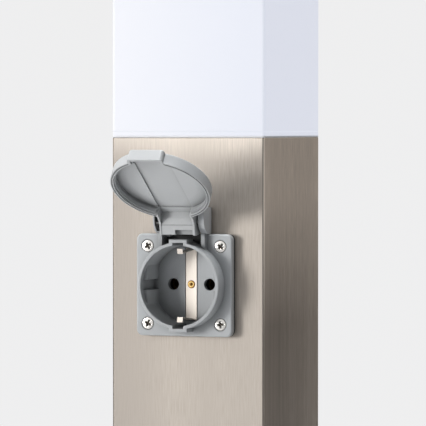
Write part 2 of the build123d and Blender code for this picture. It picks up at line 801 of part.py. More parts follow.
def terminal(x, z):
    """A square brass terminal with a wire's hole behind and a threaded screw hole on top."""
    middle = terminal_back - terminal_proud / 2
    with BuildPart() as made:
        with BuildSketch(face.offset(-terminal_back)):
            with Locations((x, z)):
                Rectangle(terminal_w, terminal_w)
        extrude(amount=terminal_back - terminal_front)
        with BuildSketch(face.offset(-terminal_back)):
            with Locations((x, z)):
                Circle(wire_r + screw_gap)
        extrude(amount=terminal_proud, mode=Mode.SUBTRACT)
        with BuildSketch(Plane.XY.offset(socket_z + z)):
            with Locations((x, flange_front_y + middle)):
                Circle(terminal_screw_r + thread_gap)
        extrude(amount=terminal_w / 2, mode=Mode.SUBTRACT)
    return made.part


def pin_contact(x):
    """A slit sleeve that grips a plug's pin, with its terminal behind."""
    body = terminal(x, 0)
    with BuildPart() as made:
        with BuildSketch(face.offset(-terminal_front)):
            with Locations((x, 0)):
                Circle(sleeve_bore_r + sleeve_wall)
                Circle(sleeve_bore_r, mode=Mode.SUBTRACT)
                Rectangle(sleeve_slit, 2 * (sleeve_bore_r + sleeve_wall), mode=Mode.SUBTRACT)
        extrude(amount=terminal_front - floor_back - sleeve_set)
        add(body)
    return made.part


line_contact = pin_contact(-pin_x)
neutral_contact = pin_contact(pin_x)

earth_terminal = terminal(0, -earth_drop)
with BuildPart() as earth_strap:
    with BuildSketch(face.offset(-(floor_back + strap_t))):
        with Locations((0, (strap_h / 2 - earth_drop) / 2)):
            Rectangle(strap_w, strap_h / 2 + earth_drop)
        Circle(rivet_r + thread_gap, mode=Mode.SUBTRACT)
    extrude(amount=strap_t)
    with BuildSketch(face.offset(-terminal_front)):
        with Locations((0, strap_t / 2 - earth_drop)):
            Rectangle(strap_w, strap_t)
    extrude(amount=terminal_front - floor_back)
    add(earth_terminal)

terminal_screw = cross_screw(
    terminal_screw_r, terminal_w / 2 - wire_r, terminal_screw_head_r, terminal_screw_head_h
)
with BuildPart() as terminal_screws:
    for x, z in terminal_places:
        with Locations((x, flange_front_y + terminal_back - terminal_proud / 2, socket_z + z + terminal_w / 2)):
            add(terminal_screw)

# Rear cover over the terminals, with the wires' entry in its underside
with BuildPart() as rear_cover:
    with BuildSketch(face.offset(-block_back)):
        Circle(block_r)
    extrude(amount=-cover_depth)
    fillet(rear_cover.faces().sort_by(Axis.Y)[-1].edges(), cover_wall / 2)
    with BuildSketch(face.offset(-block_back)):
        Circle(block_r - cover_wall)
    extrude(amount=-(cover_depth - cover_wall), mode=Mode.SUBTRACT)
    with BuildSketch(face.offset(-cover_back)):
        with Locations(*rear_screw_places):
            Circle(rear_screw_r + screw_gap)
    extrude(amount=cover_wall, mode=Mode.SUBTRACT)
    with BuildSketch(Plane.XY.offset(socket_z - block_r)):
        with Locations((0, flange_front_y + cover_back - cover_wall - cover_entry_r)):
            Circle(cover_entry_r)
    extrude(amount=block_r / 2, mode=Mode.SUBTRACT)

rear_screw_length = cover_back - floor_back - seat_gap
rear_screw = cross_screw(rear_screw_r, rear_screw_length, rear_screw_head_r, rear_screw_head_h)
with BuildPart() as rear_screws:
    for x, z in rear_screw_places:
        seat = Plane(origin=(x, flange_front_y + cover_back, socket_z + z), x_dir=(1, 0, 0), z_dir=(0, 1, 0))
        with Locations(seat.location):
            add(rear_screw)

# Diffuser: an opal box whose skirt drops into the post, on a thin white seal
diffuser_z = metal_top_z + diffuser_seal_t
skirt_half = bracket_half
with BuildPart() as diffuser:
    with BuildSketch(Plane.XY.offset(diffuser_z)):
        RectangleRounded(post_side, post_side, post_corner_r)
    extrude(amount=overall_height - diffuser_z)
    fillet(diffuser.faces().sort_by(Axis.Z)[-1].edges(), diffuser_top_edge_r)
    with BuildSketch(Plane.XY.offset(skirt_z)):
        RectangleRounded(2 * skirt_half, 2 * skirt_half, post_inner_r)
    extrude(amount=diffuser_z + skirt_lap - skirt_z)
    with BuildSketch(Plane.XY.offset(diffuser_z + skirt_lap)):
        RectangleRounded(post_side - 2 * diffuser_wall, post_side - 2 * diffuser_wall, post_corner_r)
    extrude(amount=overall_height - diffuser_wall - diffuser_z - skirt_lap, mode=Mode.SUBTRACT)
    with BuildSketch(Plane.XY.offset(skirt_z)):
        RectangleRounded(2 * (skirt_half - skirt_wall), 2 * (skirt_half - skirt_wall), post_corner_r)
    extrude(amount=diffuser_z + skirt_lap - skirt_z, mode=Mode.SUBTRACT)
    with BuildSketch(Plane.XY.offset(metal_top_z + diffuser_line_z)):
        RectangleRounded(post_side + overrun, post_side + overrun, post_corner_r)
        RectangleRounded(post_side - 2 * diffuser_line, post_side - 2 * diffuser_line, post_corner_r,
                         mode=Mode.SUBTRACT)
    extrude(amount=diffuser_line, mode=Mode.SUBTRACT)
    with BuildSketch(Plane.XZ.offset(-skirt_half)):
        with Locations((-rear_fix_x, skirt_z + skirt_depth / 2), (rear_fix_x, skirt_z + skirt_depth / 2)):
            Circle(rear_fix_r + thread_gap)
    extrude(amount=skirt_wall, mode=Mode.SUBTRACT)

with BuildPart() as diffuser_seal:
    with BuildSketch(Plane.XY.offset(metal_top_z)):
        RectangleRounded(post_side, post_side, post_corner_r)
        RectangleRounded(2 * inner_half, 2 * inner_half, post_inner_r, mode=Mode.SUBTRACT)
    extrude(amount=diffuser_seal_t)

# Lamp carrier: a shallow tray turned down on all four sides
with BuildPart() as lamp_carrier:
    with BuildSketch(Plane.XY.offset(carrier_top_z - carrier_flange_h)):
        RectangleRounded(2 * bracket_half, 2 * bracket_half, post_corner_r)
    extrude(amount=carrier_flange_h)
    with BuildSketch(Plane.XY.offset(carrier_top_z - carrier_flange_h)):
        Rectangle(2 * (bracket_half - carrier_t), 2 * (bracket_half - carrier_t))
    extrude(amount=carrier_flange_h - carrier_t, mode=Mode.SUBTRACT)
    with BuildSketch(Plane.XY.offset(carrier_top_z)):
        Circle(carrier_hole_r)
        with Locations((-holder_screw_x, 0), (holder_screw_x, 0)):
            Circle(holder_screw_r + thread_gap)
    extrude(amount=-carrier_t, mode=Mode.SUBTRACT)
    with BuildSketch(Plane.XZ.offset(-bracket_half)):
        with Locations((-rear_fix_x, carrier_top_z - carrier_flange_h / 2),
                       (rear_fix_x, carrier_top_z - carrier_flange_h / 2)):
            Circle(rear_fix_r + thread_gap)
    extrude(amount=carrier_t, mode=Mode.SUBTRACT)

rear_fix = cross_screw(rear_fix_r, rear_fix_length, rear_fix_head_r, rear_fix_head_h)


def rear_fix_pair(z):
    """Two screws in the back of the post at one height."""
    with BuildPart() as made:
        for x in (-rear_fix_x, rear_fix_x):
            seat = Plane(origin=(x, post_side / 2, z), x_dir=(1, 0, 0), z_dir=(0, 1, 0))
            with Locations(seat.location):
                add(rear_fix)
    return made.part


diffuser_screws = rear_fix_pair(skirt_z + skirt_depth / 2)
carrier_screws = rear_fix_pair(carrier_top_z - carrier_flange_h / 2)

# Lamp holder with its threaded shell and centre contact
with BuildPart() as lamp_holder:
    with BuildSketch(Plane.XY.offset(carrier_top_z)):
        Circle(holder_base_r)
    extrude(amount=holder_base_t)
    chamfer(lamp_holder.faces().sort_by(Axis.Z)[-1].edges(), carrier_t / 2)
    with BuildSketch(Plane.XY.offset(carrier_top_z + holder_base_t)):
        Circle(holder_r)
    with BuildSketch(Plane.XY.offset(holder_top_z)):
        Circle(holder_mouth_r)
    loft()
    with BuildSketch(Plane.XY.offset(carrier_top_z + holder_floor)):
        Circle(holder_cavity_r)
    extrude(amount=holder_height - holder_floor, mode=Mode.SUBTRACT)
    with BuildSketch(Plane.XY.offset(carrier_top_z)):
        Circle(carrier_hole_r)
    extrude(amount=holder_floor / 2, mode=Mode.SUBTRACT)
    with BuildSketch(Plane.XY.offset(carrier_top_z)):
        with Locations((-holder_screw_x, 0), (holder_screw_x, 0)):
            Circle(holder_screw_r + screw_gap)
    extrude(amount=holder_base_t, mode=Mode.SUBTRACT)
    with BuildSketch(Plane.XY.offset(carrier_top_z + holder_base_t)):
        with Locations((-holder_screw_x, 0), (holder_screw_x, 0)):
            Circle(holder_screw_head_r + screw_gap)
    extrude(amount=holder_screw_head_h + carrier_t, mode=Mode.SUBTRACT)

holder_screw = cross_screw(
    holder_screw_r, holder_base_t + carrier_t, holder_screw_head_r, holder_screw_head_h
)
with BuildPart() as holder_screws:
    for x in (-holder_screw_x, holder_screw_x):
        with Locations((x, 0, carrier_top_z + holder_base_t)):
            add(holder_screw)

shell_r = holder_cavity_r - seat_gap / 2
with BuildPart() as holder_shell:
    with BuildSketch(Plane.XY.offset(carrier_top_z + holder_floor)):
        Circle(shell_r)
        Circle(shell_r - shell_t, mode=Mode.SUBTRACT)
    extrude(amount=shell_height)

with BuildPart() as holder_contact:
    with BuildSketch(Plane.XZ):
        with BuildLine():
            Polyline(
                (-lamp_contact_w, cap_low_z - cap_set),
                (lamp_contact_w, cap_low_z - cap_set),
                (lamp_contact_w, cap_low_z - cap_set + lamp_contact_t),
                (lamp_contact_w / 2, cap_low_z - cap_set + lamp_contact_t),
                (lamp_contact_w / 3, cap_low_z - seat_gap),
                (-lamp_contact_w / 3, cap_low_z - seat_gap),
                (-lamp_contact_w / 2, cap_low_z - cap_set + lamp_contact_t),
                (-lamp_contact_w, cap_low_z - cap_set + lamp_contact_t),
                close=True,
            )
        make_face()
    extrude(amount=lamp_contact_w / 2, both=True)

# Lamp: a screw cap and an opal globe
cap_turns = int((cap_height - cap_tip_h) / thread_pitch) - 1
with BuildPart() as lamp_cap:
    with BuildSketch(Plane.XY.offset(cap_low_z)):
        Circle(cap_tip_r)
    extrude(amount=cap_tip_h)
    with BuildSketch(Plane.XY.offset(cap_low_z + cap_tip_h)):
        Circle(cap_r - thread_rise)
    extrude(amount=cap_height - cap_tip_h)
    for turn in range(cap_turns):
        with BuildSketch(Plane.XY.offset(cap_low_z + cap_tip_h + (turn + 1) * thread_pitch)):
            Circle(cap_r)
        extrude(amount=thread_pitch / 2)

with BuildPart() as lamp_globe:
    bulb_z = cap_top_z + bulb_neck_h + bulb_r / 2
    with BuildSketch(Plane.XZ):
        with BuildLine():
            Line((0, cap_top_z), (cap_r, cap_top_z))
            Line((cap_r, cap_top_z), (bulb_r, bulb_z))
            RadiusArc((bulb_r, bulb_z), (0, bulb_z + bulb_r), -bulb_r)
            Line((0, bulb_z + bulb_r), (0, cap_top_z))
        make_face()
    revolve(axis=Axis.Z)

# Terminal block on the bracket's right upright
pole_places = [-pole_pitch, 0, pole_pitch]
pole_face_x = bracket_half - bracket_t
with BuildPart() as terminal_block:
    with BuildSketch(Plane.XY.offset(terminal_z - pole_h / 2)):
        with Locations((pole_face_x - pole_depth / 2, 0)):
            Rectangle(pole_depth, 3 * pole_pitch - seat_gap)
    extrude(amount=pole_h)
    chamfer(terminal_block.edges().filter_by(Axis.Y).sort_by(Axis.X)[:2], carrier_t / 2)
    with BuildSketch(Plane.XY.offset(terminal_z - pole_h / 2)):
        for y in pole_places:
            with Locations((pole_x, y)):
                Circle(insert_r + thread_gap)
    extrude(amount=pole_h, mode=Mode.SUBTRACT)
    with BuildSketch(Plane.YZ.offset(pole_face_x)):
        with Locations(*[(y, terminal_z + z) for y in pole_places for z in (-pole_h / 4, pole_h / 4)]):
            Circle(pole_screw_head_r + screw_gap)
    extrude(amount=-pole_depth, mode=Mode.SUBTRACT)
    with BuildSketch(Plane.YZ.offset(pole_face_x)):
        with Locations((-pole_pitch / 2, terminal_z), (pole_pitch / 2, terminal_z)):
            Circle(fix_screw_r + screw_gap)
    extrude(amount=-pole_depth, mode=Mode.SUBTRACT)

with BuildPart() as terminal_inserts:
    for y in pole_places:
        with BuildSketch(Plane.XY.offset(terminal_z - pole_h / 2)):
            with Locations((pole_x, y)):
                Circle(insert_r)
                Circle(insert_bore_r, mode=Mode.SUBTRACT)
        extrude(amount=pole_h)
    with BuildSketch(Plane.YZ.offset(pole_x)):
        with Locations(*[(y, terminal_z + z) for y in pole_places for z in (-pole_h / 4, pole_h / 4)]):
            Circle(pole_screw_r + thread_gap)
    extrude(amount=-pole_depth, mode=Mode.SUBTRACT)

pole_screw = cross_screw(pole_screw_r, insert_r - wire_r, pole_screw_head_r, pole_screw_head_h)
with BuildPart() as pole_screws:
    for y in pole_places:
        for z in (-pole_h / 4, pole_h / 4):
            seat = Plane(origin=(pole_x - insert_r, y, terminal_z + z), x_dir=(0, 1, 0), z_dir=(-1, 0, 0))
            with Locations(seat.location):
                add(pole_screw)

fix_screw = cross_screw(fix_screw_r, pole_depth + bracket_t, fix_screw_head_r, fix_screw_head_h)
with BuildPart() as block_screws:
    for y in (-pole_pitch / 2, pole_pitch / 2):
        seat = Plane(origin=(pole_face_x - pole_depth, y, terminal_z), x_dir=(0, 1, 0), z_dir=(-1, 0, 0))
        with Locations(seat.location):
            add(fix_screw)

# Earth point on the bracket's left upright: lug, nut and screw
earth_face_x = -bracket_half + bracket_t
with BuildPart() as earth_lug:
    with BuildSketch(Plane.YZ.offset(earth_face_x)):
        with Locations((0, earth_z)):
            Circle(lug_ring_r)
        with Locations((0, earth_z + lug_tail / 2)):
            Rectangle(lug_tail_w, lug_tail)
        with Locations((0, earth_z)):
            Circle(earth_screw_r + screw_gap, mode=Mode.SUBTRACT)
    extrude(amount=lug_t)

earth_nut_part = hex_nut(earth_nut_across, earth_nut_t, earth_screw_r + thread_gap)
with BuildPart() as earth_nut:
    seat = Plane(origin=(earth_face_x + lug_t, 0, earth_z), x_dir=(0, 1, 0), z_dir=(1, 0, 0))
    with Locations(seat.location):
        add(earth_nut_part)

with BuildPart() as earth_stud:
    stud_x = earth_face_x - bracket_t
    with BuildSketch(Plane.YZ.offset(stud_x)):
        with Locations((0, earth_z)):
            Circle(earth_screw_r)
    extrude(amount=earth_screw_length)
    chamfer(earth_stud.faces().sort_by(Axis.X)[-1].edges(), earth_screw_r / 4)

# Wires from the terminal block's upper side to the socket, the lamp and the earth lug
pole_top_z = terminal_z + pole_h / 2
wire_start_z = pole_top_z - wire_in_pole
entry_y = flange_front_y + cover_back - cover_wall - cover_entry_r
terminal_end_y = flange_front_y + terminal_back
entry_z = socket_z - block_r + 2 * cover_wall
entry_shares = [(-0.42, -0.3), (0.42, -0.3), (0.14, 0.42)]
fan_share = 3.0
socket_wire_parts = []
for y, (x_end, z_end), (x_share, y_share) in zip(pole_places, terminal_places, entry_shares):
    x_in = cover_entry_r * x_share
    y_in = entry_y + cover_entry_r * y_share
    x_out = pole_x + (wire_spread if z_end else -wire_spread)
    socket_wire_parts.append(wire([
        (x_out, y, wire_start_z),
        (x_out, y, pole_top_z + bracket_depth),
        (x_in * fan_share, y_in, entry_z - 2 * bracket_depth),
        (x_in, y_in, entry_z),
        (x_end, y_in, socket_z + z_end),
        (x_end, terminal_end_y - terminal_proud / 2, socket_z + z_end),
    ]))
with BuildPart() as socket_wires:
    for part in socket_wire_parts:
        add(part)

lamp_wire_end_z = carrier_top_z + holder_floor / 2 - seat_gap
lamp_wire_parts = []
for y, end_share in zip(pole_places[:2], (-0.4, 0.4)):
    y_run = inner_half + y - pole_pitch / 2
    lamp_wire_parts.append(wire([
        (pole_x + wire_spread, y, wire_start_z),
        (pole_x + wire_spread, y, pole_top_z + bracket_depth),
        (pole_x, y_run, entry_z - bracket_depth),
        (pole_x, y_run, socket_z),
        (carrier_hole_r * end_share, 0, carrier_top_z - bracket_depth / 2),
        (carrier_hole_r * end_share, 0, lamp_wire_end_z),
    ]))
with BuildPart() as lamp_wires:
    for part in lamp_wire_parts:
        add(part)

lug_top_z = earth_z + lug_tail
earth_wire_x = earth_face_x + lug_t + wire_r
earth_wire_part = wire([
    (pole_x - wire_spread, pole_places[2], wire_start_z),
    (pole_x - wire_spread, pole_places[2], pole_top_z + bracket_depth / 2),
    (0, 2 * pole_places[2], pole_top_z + bracket_depth / 2),
    (earth_wire_x, 0, pole_top_z + bracket_depth / 2),
    (earth_wire_x, 0, lug_top_z - lug_tail / 3),
])

nodes = {
    "base_plate": base_plate.part,
    "cable_grommet": cable_grommet.part,
    "post_bracket": post_bracket.part,
    "base_screws": base_screws.part,
    "post_tube": post_tube.part,
    "side_screws": side_screws.part,
    "socket_gasket": socket_gasket.part,
    "socket_front": socket_front.part,
    "flange_screws": flange_screws.part,
    "flange_nuts": flange_nuts.part,
    "hinge_pin": hinge_pin.part,
    "lid_cover": lid_cover.part,
    "lid_seal": lid_seal.part,
    "earth_bridge": earth_bridge.part,
    "earth_rivet": earth_rivet.part,
    "earth_strap": earth_strap.part,
    "contact_block": contact_block.part,
    "line_contact": line_contact,
    "neutral_contact": neutral_contact,
    "terminal_screws": terminal_screws.part,
    "rear_cover": rear_cover.part,
    "rear_screws": rear_screws.part,
    "diffuser": diffuser.part,
    "diffuser_seal": diffuser_seal.part,
    "diffuser_screws": diffuser_screws,
    "lamp_carrier": lamp_carrier.part,
    "carrier_screws": carrier_screws,
    "lamp_holder": lamp_holder.part,
    "holder_screws": holder_screws.part,
    "holder_shell": holder_shell.part,
    "holder_contact": holder_contact.part,
    "lamp_cap": lamp_cap.part,
    "lamp_globe": lamp_globe.part,
    "terminal_block": terminal_block.part,
    "terminal_inserts": terminal_inserts.part,
    "pole_screws": pole_screws.part,
    "block_screws": block_screws.part,
    "earth_lug": earth_lug.part,
    "earth_nut": earth_nut.part,
    "earth_stud": earth_stud.part,
    "socket_wires": socket_wires.part,
    "lamp_wires": lamp_wires.part,
    "earth_wire": earth_wire_part,
}
for name, piece in nodes.items():
    piece.label = name
    export_step(piece, f"parts/{name}.step")
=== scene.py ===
import json
from math import cos, radians, sin, tau

import bpy
from mathutils import Euler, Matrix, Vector

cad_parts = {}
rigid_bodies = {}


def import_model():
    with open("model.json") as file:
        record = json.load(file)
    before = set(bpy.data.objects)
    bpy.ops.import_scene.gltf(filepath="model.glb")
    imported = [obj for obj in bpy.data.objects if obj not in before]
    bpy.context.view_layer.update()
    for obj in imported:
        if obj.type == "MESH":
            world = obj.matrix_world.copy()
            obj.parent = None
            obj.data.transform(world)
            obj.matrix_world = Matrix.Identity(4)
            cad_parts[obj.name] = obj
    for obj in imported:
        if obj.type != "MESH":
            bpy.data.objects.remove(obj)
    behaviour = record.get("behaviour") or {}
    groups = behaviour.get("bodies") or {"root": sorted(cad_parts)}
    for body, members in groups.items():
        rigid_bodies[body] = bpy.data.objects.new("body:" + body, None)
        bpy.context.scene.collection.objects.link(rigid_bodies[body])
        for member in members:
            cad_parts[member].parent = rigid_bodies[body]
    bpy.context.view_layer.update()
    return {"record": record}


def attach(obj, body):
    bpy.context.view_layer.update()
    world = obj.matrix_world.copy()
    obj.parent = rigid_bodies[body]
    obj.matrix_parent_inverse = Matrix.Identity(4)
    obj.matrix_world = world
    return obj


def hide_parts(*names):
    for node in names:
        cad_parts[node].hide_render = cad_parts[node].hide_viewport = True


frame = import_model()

scene = bpy.context.scene

# Camera, in metres and degrees: just above the metal's top edge, to the right of the front
camera_place = (0.6214, -1.6208, 0.4055)
camera_heading = 21.04
camera_tilt = 1.43
camera_reach = 20.0
focal_px = 3473.0
picture_px = 426.0
sensor_mm = 36.0

# World: the plain grey that the camera sees, the soft light, and what shiny surfaces mirror
backdrop_grey = (0.86, 0.86, 0.865)
world_soft = (0.03, 0.03, 0.03)
mirrored_bright = (0.80, 0.80, 0.80)
mirrored_dark = (0.32, 0.28, 0.248)
dark_side = (0.55, 0.83, -0.1)
dark_side_range = (0.35, 0.97)

# Lamps, in metres and watts
lamp_aim = (0.0, -0.045, 0.328)
lamp_size = 0.6
key_place = (-1.40, -1.55, 0.50)
key_watts = 26.0
key_colour = (1.0, 0.99, 0.975)
top_place = (0.05, -0.10, 1.6)
top_watts = 23.0
top_colour = (0.97, 0.985, 1.0)

# Floor, in metres: away from the post it fades into the backdrop
floor_half = 3.0
floor_fade = (0.15, 1.5)
floor_fade_share = (0.45, 1.0)

# All materials: the used part of each noise's range, its detail, how edges are shaded, and the painted
# shade in corners
grain_range = (0.2, 0.8)
grain_detail = 3.0
blotch_range = (0.35, 0.65)
blotch_share = (0.0, 0.6)
blotch_detail = 2.0
corner_painted_shade = 0.2
corner_samples = 12
edge_samples = 6
even = (1, 1, 1)

# Brushed post: factors on the metal's colour, which paint light and shade: painted light at the top rim
# and on the side walls, painted shade on the front's left, painted reflections on the side walls, and
# painted shade and highlight lines at the corner folds. Heights and places are in metres. A turn is how
# far the surface faces sideways, from 0 on the front and the back to 1 on the two side walls
no_change = (1, 1, 1)
# Painted light: the metal is lighter towards its top rim
metal_painted_top = (0.388, 0.40)
metal_painted_top_light = (1.45, 1.45, 1.45)
# Painted shade on the left of the front
front_left_x = (-0.040, -0.006)
front_left_painted_shade = (0.84, 0.84, 0.845)
# Side walls: painted reflections as soft bands, painted light near the top and painted shade to the front
# below it; the brush lines are grain
side_painted_dark = (0.50, 0.487, 0.474)
side_painted_light = (1.75, 1.74, 1.72)
side_band_scale = 34.0
side_band_detail = 0.5
side_band_stretch = (1, 1, 0.10)
side_band_range = (0.30, 0.70)
side_band_share = (0.22, 0.50)
side_line_scale = 420.0
side_line_detail = 2.0
side_line_stretch = (1, 1, 0.02)
side_line_share = (-0.08, 0.08)
side_across_y = (-0.024, 0.026)
side_across_share = (-0.24, 0.10)
side_painted_top_z = (0.308, 0.372)
side_painted_top_share = 0.60
# Corner folds: a painted shade line and a painted highlight line, the highlight stronger towards the top
fold_painted_shade = (0.38, 0.37, 0.36)
fold_painted_highlight = (2.0, 1.99, 1.97)
fold_painted_highlight_z = (0.30, 0.39)
fold_painted_shade_turn = (0.08, 0.30)
fold_painted_highlight_turn = (0.50, 0.66)
fold_end_turn = (0.965, 0.99)

# Opal plastic, in metres: painted light whiter to one side, painted shade less white to the top
opal_painted_light_x = (0.03, -0.04)
opal_painted_light = (0.255, 0.24, 0.205)
opal_painted_shade_z = (0.46, 0.60)
opal_painted_shade = (0.11, 0.108, 0.104)

# Rivet, in metres: its middle, and the radii over which its dimple ends and its edge begins
rivet_centre = (0.0, 0.0, 0.328)
rivet_dimple = (0.0005, 0.0009)
rivet_edge = (0.0013, 0.0017)
rivet_painted_shade = (0.30, 0.13, 0.03)

# Flange screws, in metres and degrees
screw_spacing = 0.038
screw_face_y = -0.0448
screw_middle_z = 0.328
screw_turns = (64, 28, 8, 50)
screw_length = 0.012
screw_shank_r = 0.0017
screw_head_r = 0.00295
screw_head_h = 0.0017
head_crown = 0.00018
head_face_share = 0.96
head_edge_h = 0.00012
recess_depth = 0.0013
recess_arm = 0.00185
recess_arm_slope = 0.45
recess_half_w = 0.00038
recess_slope = 0.00022
rim_from = 0.90
head_rings = 30
points_around = 96
# Painted shade in the cross recess and at the head's rim, carried as a point attribute
painted_shade_range = (0.1, 0.9)
painted_shade_colour = (0.09, 0.08, 0.07)


def node(tree, kind, **settings):
    """A new shader node with some of its settings."""
    made = tree.nodes.new(kind)
    for name, value in settings.items():
        setattr(made, name, value)
    return made


def noise(tree, coords, scale, detail, stretch):
    """Noise whose cells are scale per metre, stretched along the part's axes."""
    mapping = node(tree, "ShaderNodeMapping")
    mapping.inputs["Scale"].default_value = stretch
    tree.links.new(coords, mapping.inputs["Vector"])
    made = node(tree, "ShaderNodeTexNoise")
    made.inputs["Scale"].default_value = scale
    made.inputs["Detail"].default_value = detail
    tree.links.new(mapping.outputs["Vector"], made.inputs["Vector"])
    return made.outputs["Fac"]


def spread(tree, value, low, high, to_low=0.0, to_high=1.0):
    """A value's range from low to high, put on another range."""
    made = node(tree, "ShaderNodeMapRange")
    made.inputs["From Min"].default_value = low
    made.inputs["From Max"].default_value = high
    made.inputs["To Min"].default_value = to_low
    made.inputs["To Max"].default_value = to_high
    tree.links.new(value, made.inputs["Value"])
    return made.outputs["Result"]


def combined(tree, operation, first, second, clamp=False):
    """Two values joined by a sum or a product."""
    made = node(tree, "ShaderNodeMath", operation=operation, use_clamp=clamp)
    tree.links.new(first, made.inputs[0])
    tree.links.new(second, made.inputs[1])
    return made.outputs["Value"]


def colour_sockets(sockets):
    """Those of a node's sockets that carry a colour."""
    return [socket for socket in sockets if socket.type == "RGBA"]


def blend_colours(tree, factor, first, second):
    """From the first colour to the second. Each is a socket or plain numbers."""
    made = node(tree, "ShaderNodeMix", data_type="RGBA")
    tree.links.new(factor, made.inputs["Factor"])
    for socket, colour in zip(colour_sockets(made.inputs), (first, second)):
        if isinstance(colour, tuple):
            socket.default_value = (*colour, 1.0)
        else:
            tree.links.new(colour, socket)
    return colour_sockets(made.outputs)[0]


def multiplied(tree, first, second):
    """The product of two colours, not held below one."""
    made = node(tree, "ShaderNodeMix", data_type="RGBA", blend_type="MULTIPLY", clamp_result=False)
    made.inputs["Factor"].default_value = 1.0
    for socket, colour in zip(colour_sockets(made.inputs), (first, second)):
        tree.links.new(colour, socket)
    return colour_sockets(made.outputs)[0]


def scaled(colour, share):
    """A colour times a number, each channel held at one or below."""
    return tuple(min(1.0, channel * share) for channel in colour)


def surface(name, colour, rough, grain, contrast, blotch, blotch_scale, bump, bump_mm, rough_spread=0.06,
            stretch=even, blotch_stretch=even, edge_mm=0.0, corner_mm=0.0, **sockets):
    """A material with fine grain, wide soft variation, uneven gloss and a fine relief.

    With edge_mm its edges are shaded as rounded, and with corner_mm shade is painted into its corners.
    """
    made = bpy.data.materials.new(name)
    made.use_nodes = True
    tree = made.node_tree
    shader = tree.nodes["Principled BSDF"]
    coords = node(tree, "ShaderNodeTexCoord").outputs["Object"]
    fine = noise(tree, coords, grain, grain_detail, stretch)
    wide = noise(tree, coords, blotch_scale, blotch_detail, blotch_stretch)
    grain_share = spread(tree, fine, *grain_range)
    grained = blend_colours(tree, grain_share, scaled(colour, 1 - contrast), scaled(colour, 1 + contrast))
    wide_share = spread(tree, wide, *blotch_range, *blotch_share)
    toned = blend_colours(tree, wide_share, grained, scaled(colour, 1 - blotch))
    if corner_mm:
        # Painted shade: ambient occlusion darkens the colour in corners and hollows
        openness = node(tree, "ShaderNodeAmbientOcclusion", samples=corner_samples)
        openness.inputs["Distance"].default_value = corner_mm / 1000
        toned = blend_colours(tree, openness.outputs["AO"], scaled(colour, corner_painted_shade), toned)
    tree.links.new(toned, shader.inputs["Base Color"])
    roughness = spread(tree, fine, *grain_range, rough - rough_spread, rough + rough_spread)
    tree.links.new(roughness, shader.inputs["Roughness"])
    relief = node(tree, "ShaderNodeBump")
    relief.inputs["Strength"].default_value = bump
    relief.inputs["Distance"].default_value = bump_mm / 1000
    tree.links.new(fine, relief.inputs["Height"])
    if edge_mm:
        rounded = node(tree, "ShaderNodeBevel", samples=edge_samples)
        rounded.inputs["Radius"].default_value = edge_mm / 1000
        tree.links.new(rounded.outputs["Normal"], relief.inputs["Normal"])
    tree.links.new(relief.outputs["Normal"], shader.inputs["Normal"])
    for socket, value in sockets.items():
        shader.inputs[socket.replace("_", " ")].default_value = value
    return made


def shader_and_colour(material):
    """A material's shader, and the socket that gives it its colour."""
    shader = material.node_tree.nodes["Principled BSDF"]
    return shader, shader.inputs["Base Color"].links[0].from_socket


def side_wall_tone(tree, coords, place):
    """Painted reflections as soft upright bands, with brush lines, painted light near the top and below
    that painted shade to the front.
    """
    band_noise = noise(tree, coords, side_band_scale, side_band_detail, side_band_stretch)
    bands = spread(tree, band_noise, *side_band_range, *side_band_share)
    line_noise = noise(tree, coords, side_line_scale, side_line_detail, side_line_stretch)
    lines = spread(tree, line_noise, *grain_range, *side_line_share)
    across = spread(tree, place.outputs["Y"], *side_across_y, *side_across_share)
    lower = spread(tree, place.outputs["Z"], *side_painted_top_z, 1.0, 0.0)
    upper = spread(tree, place.outputs["Z"], *side_painted_top_z, 0.0, side_painted_top_share)
    streaks = combined(tree, "ADD", bands, lines, clamp=True)
    places = combined(tree, "ADD", combined(tree, "MULTIPLY", across, lower), upper)
    share = combined(tree, "ADD", streaks, places, clamp=True)
    return blend_colours(tree, share, side_painted_dark, side_painted_light)


def brushed_post():
    """Brushed metal with upright grain, painted reflections and light on the side walls, painted light at
    the top rim, painted shade on the front's left, and painted shade and highlight lines at the corner
    folds.
    """
    made = surface("brushed_post", colour=(0.372, 0.337, 0.302), rough=0.56, grain=1900, contrast=0.26,
                   blotch=0.10, blotch_scale=38, bump=0.15, bump_mm=0.02, stretch=(1, 1, 0.05),
                   blotch_stretch=(1, 1, 0.10), edge_mm=0.3, Metallic=1.0)
    tree = made.node_tree
    shader, plain = shader_and_colour(made)
    coords = node(tree, "ShaderNodeTexCoord")
    place = node(tree, "ShaderNodeSeparateXYZ")
    tree.links.new(coords.outputs["Object"], place.inputs["Vector"])
    side = side_wall_tone(tree, coords.outputs["Object"], place)
    # Painted light towards the top rim
    top_share = spread(tree, place.outputs["Z"], *metal_painted_top)
    topped = blend_colours(tree, top_share, no_change, metal_painted_top_light)
    # Painted shade: the front is darker towards its left
    left_share = spread(tree, place.outputs["X"], *front_left_x)
    left_shaded = blend_colours(tree, left_share, front_left_painted_shade, no_change)
    front = multiplied(tree, topped, left_shaded)
    facing = node(tree, "ShaderNodeSeparateXYZ")
    tree.links.new(coords.outputs["Normal"], facing.inputs["Vector"])
    sideways = node(tree, "ShaderNodeMath", operation="ABSOLUTE")
    tree.links.new(facing.outputs["X"], sideways.inputs[0])
    turn = sideways.outputs["Value"]
    # Painted shade and painted highlight lines along the rounded corners
    shade_line = blend_colours(tree, spread(tree, turn, *fold_painted_shade_turn), front, fold_painted_shade)
    highlight_line = blend_colours(tree, spread(tree, place.outputs["Z"], *fold_painted_highlight_z), side, fold_painted_highlight)
    folded = blend_colours(tree, spread(tree, turn, *fold_painted_highlight_turn), shade_line, highlight_line)
    toned = blend_colours(tree, spread(tree, turn, *fold_end_turn), folded, side)
    tree.links.new(multiplied(tree, plain, toned), shader.inputs["Base Color"])
    return made


